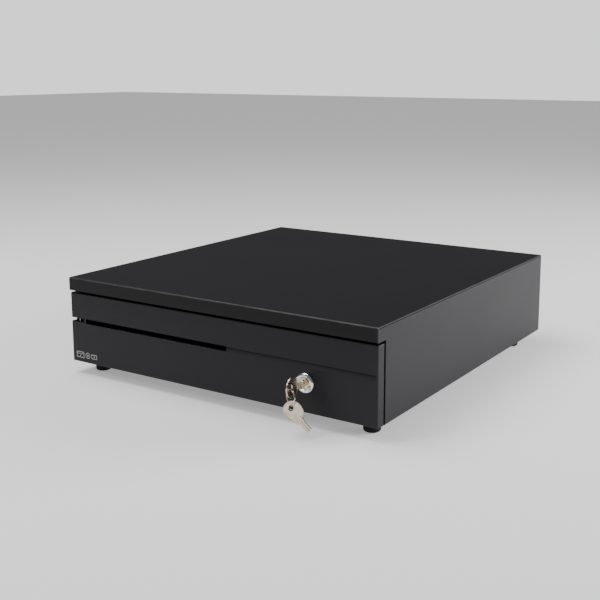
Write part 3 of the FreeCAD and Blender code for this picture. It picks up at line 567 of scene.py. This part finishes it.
def makeFeet():
    v = foot
    edge = v["round"]
    wide = v["wide"]
    top = v["high"] - v["clear"]
    profile = [(v["hole"], v["recess"]), (wide, v["recess"]), (wide, 0.3 * mm), (wide + 0.4 * mm, 0),
               (edge - 2.9 * mm, 0), (edge - 2.7 * mm, 0.4 * mm), (edge - 2.4 * mm, 0.05 * mm),
               (edge - 1.6 * mm, 0.3 * mm), (edge - 0.8 * mm, 0.8 * mm), (edge - 0.25 * mm, 1.6 * mm),
               (edge, 2.7 * mm), (edge, v["high"] - 0.5 * mm), (edge - 0.3 * mm, top), (v["hole"], top)]
    whole = bmesh.new()
    for spot in spots("rubber_feet", v["round"], (0, 1)):
        one = turnProfile(bmesh.new(), profile, 48, closed=True)
        moved(one, Matrix.Translation((spot.x, spot.y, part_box("rubber_feet")[0][2])))
        gather(whole, one)
    addPiece("rubberFeet", whole, "foot_rubber", "housing", "rubber_feet")


makeFeet()

# solenoid winding: the outer layer as one long coil of wire
winding = {"wire": 0.42 * mm, "steps": 28}


def makeWindingTurns():
    v = winding
    low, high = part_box("solenoid_winding")
    centre = middle("solenoid_winding")
    radius = (high[0] - low[0]) / 2 - v["wire"]
    tall = high[2] - low[2] - 2 * v["wire"]
    turns = int(tall / (2 * v["wire"]))
    mesh = bmesh.new()
    bmesh.ops.create_circle(mesh, cap_ends=True, segments=8, radius=v["wire"])
    upright = turnBy(90, "X")
    moved(mesh, Matrix.Translation((radius, 0, low[2] + v["wire"])) @ upright)
    step = Vector((0, 0, tall / (turns * v["steps"])))
    start = mesh.faces[:] + mesh.edges[:] + mesh.verts[:]
    bmesh.ops.spin(mesh, geom=start, cent=(0, 0, 0), axis=(0, 0, 1), dvec=step, angle=2 * math.pi * turns,
                   steps=turns * v["steps"], use_merge=False, use_duplicate=False)
    moved(mesh, Matrix.Translation((centre.x, centre.y, 0)))
    addPiece("windingTurns", mesh, "copper_winding", "housing", "solenoid_winding")


makeWindingTurns()

# cable socket: six sprung contacts in its mouth
contacts = {"count": 6, "pitch": 1.25 * mm, "wire": 0.45 * mm, "length": 9 * mm, "inside": 7.5 * mm,
            "below": 5 * mm, "tilt": 12}


def makeContacts():
    v = contacts
    low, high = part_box("cable_socket")
    centre = middle("cable_socket")
    whole = bmesh.new()
    for i in range(v["count"]):
        x = centre.x + (i - (v["count"] - 1) / 2) * v["pitch"]
        one = block((v["wire"], v["length"], v["wire"]), (0, 0, 0), 0.1 * mm)
        spot = (x, high[1] - v["inside"], high[2] - v["below"])
        moved(one, Matrix.Translation(spot) @ turnBy(v["tilt"], "X"))
        gather(whole, one)
    addPiece("socketContacts", whole, "key_nickel", "housing")


makeContacts()

# front mark: three small pictograms, a drawer, a coin and a note
frontMark = {
    "thick": 0.3 * mm, "line": 0.9 * mm, "tall": 9 * mm, "gap": 2.2 * mm, "drawerWide": 12 * mm,
    "coin": 3.6 * mm, "noteWide": 9 * mm, "dot": 0.9 * mm,
}


def outlineBox(width, height, line, thick, spot):
    outer = block((width, thick, height), spot)
    inner = block((width - 2 * line, 3 * thick, height - 2 * line), spot)
    return combine(outer, [inner], "DIFFERENCE")


def makeFrontMark():
    v = frontMark
    low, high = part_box("front_badge")
    y = (low[1] + high[1]) / 2
    z = (low[2] + high[2]) / 2
    line = v["line"]
    thick = v["thick"]
    x = low[0]
    whole = bmesh.new()

    turn = turnBy(90, "X")
    dot = v["dot"]
    coinSize = v["coin"]
    drawerAt = x + v["drawerWide"] / 2
    gather(whole, outlineBox(v["drawerWide"], v["tall"] * 0.8, line, thick, (drawerAt, y, z)))
    gather(whole, block((10.4 * mm, thick, line * 0.8), (drawerAt, y, z + 1.1 * mm)))
    knobAt = Matrix.Translation((drawerAt, y, z - 1.2 * mm))
    gather(whole, moved(pin(dot, thick, (0, 0, 0), 20), knobAt @ turn))
    coinAt = drawerAt + v["drawerWide"] / 2 + v["gap"] + coinSize
    hollow = pin(coinSize - line, 3 * thick, (0, 0, 0), 40)
    coin = combine(pin(coinSize, thick, (0, 0, 0), 40), [hollow], "DIFFERENCE")
    gather(whole, moved(coin, Matrix.Translation((coinAt, y, z)) @ turn))
    gather(whole, moved(pin(1.2 * mm, thick, (0, 0, 0), 24), Matrix.Translation((coinAt, y, z)) @ turn))
    noteAt = coinAt + coinSize + v["gap"] + v["noteWide"] / 2
    gather(whole, outlineBox(v["noteWide"], v["tall"] * 0.6, line, thick, (noteAt, y, z)))
    gather(whole, moved(pin(dot, thick, (0, 0, 0), 20), Matrix.Translation((noteAt, y, z)) @ turn))
    addPiece("frontMark", whole, "badge_grey", "drawer", "front_badge")


makeFrontMark()
print("feet, winding, contacts and mark made")

# studio: a pale floor, air that is bright to the eye but dim as a light, and three soft boxes
studio = {
    "paper": (0.93, 0.93, 0.93, 1), "grain": (0.90, 0.90, 0.90, 1), "size": 9.0, "seen": 1.3, "fill": 0.16,
    "glow": 0.36,
}
lens = {
    "length": 58.66, "sensor": 36, "shift": (-0.0333, -0.1), "spot": (0.6369, -0.9647, 0.354), "pitch": 10.11,
    "heading": 32.88,
}


def makeStudioFinish():
    shader = Shader("pale studio paper", {"Specular IOR Level": 0.05, "Emission Strength": studio["glow"],
                                          "Emission Color": (1, 1, 1, 1)})
    paper = shader.noise(120, 3.0)
    colour = shader.blend(paper * 0.3, studio["paper"], studio["grain"])
    return shader.finish(Base_Color=colour, Roughness=0.85 + 0.1 * (paper - 0.5))


def makeStudio():
    mesh = bmesh.new()
    bmesh.ops.create_grid(mesh, x_segments=1, y_segments=1, size=studio["size"])
    floor = bpy.data.objects.new("studioFloor", bpy.data.meshes.new("studioFloor"))
    mesh.to_mesh(floor.data)
    mesh.free()
    floor.data.materials.append(makeStudioFinish())
    bpy.context.collection.objects.link(floor)


def makeLight(name, spot, target, size, energy):
    lamp = bpy.data.lights.new(name, "AREA")
    lamp.shape = "RECTANGLE"
    lamp.size, lamp.size_y = size
    lamp.energy = energy
    holder = bpy.data.objects.new(name, lamp)
    holder.location = spot
    holder.rotation_euler = (Vector(target) - Vector(spot)).to_track_quat("-Z", "Y").to_euler()
    bpy.context.collection.objects.link(holder)


def makeCamera():
    view = bpy.data.cameras.new("camera")
    view.sensor_width = lens["sensor"]
    view.lens = lens["length"]
    view.shift_x, view.shift_y = lens["shift"]
    holder = bpy.data.objects.new("camera", view)
    holder.location = lens["spot"]
    holder.rotation_euler = (math.radians(90 - lens["pitch"]), 0, math.radians(lens["heading"]))
    bpy.context.collection.objects.link(holder)
    bpy.context.scene.camera = holder


def makeWorld():
    world = bpy.data.worlds.new("studio air")
    world.use_nodes = True
    nodes = world.node_tree.nodes
    links = world.node_tree.links
    sky = nodes["Background"]
    path = nodes.new("ShaderNodeLightPath")
    level = nodes.new("ShaderNodeMapRange")
    level.inputs["To Min"].default_value = studio["fill"]
    level.inputs["To Max"].default_value = studio["seen"]
    links.new(path.outputs["Is Camera Ray"], level.inputs["Value"])
    links.new(level.outputs["Result"], sky.inputs["Strength"])
    sky.inputs["Color"].default_value = (1, 1, 1, 1)
    bpy.context.scene.world = world


makeStudio()
makeLight("topBox", (-0.5, -0.3, 1.6), (0, 0, 0.1), (1.3, 1.0), 22)
makeLight("sideBox", (1.6, 1.1, 0.6), (0.2, 0.1, 0.05), (1.0, 1.0), 45)
makeLight("frontBox", (-1.2, -1.8, 1.5), (0, -0.1, 0.06), (0.8, 0.6), 8)
makeCamera()
makeWorld()
print("studio ready")
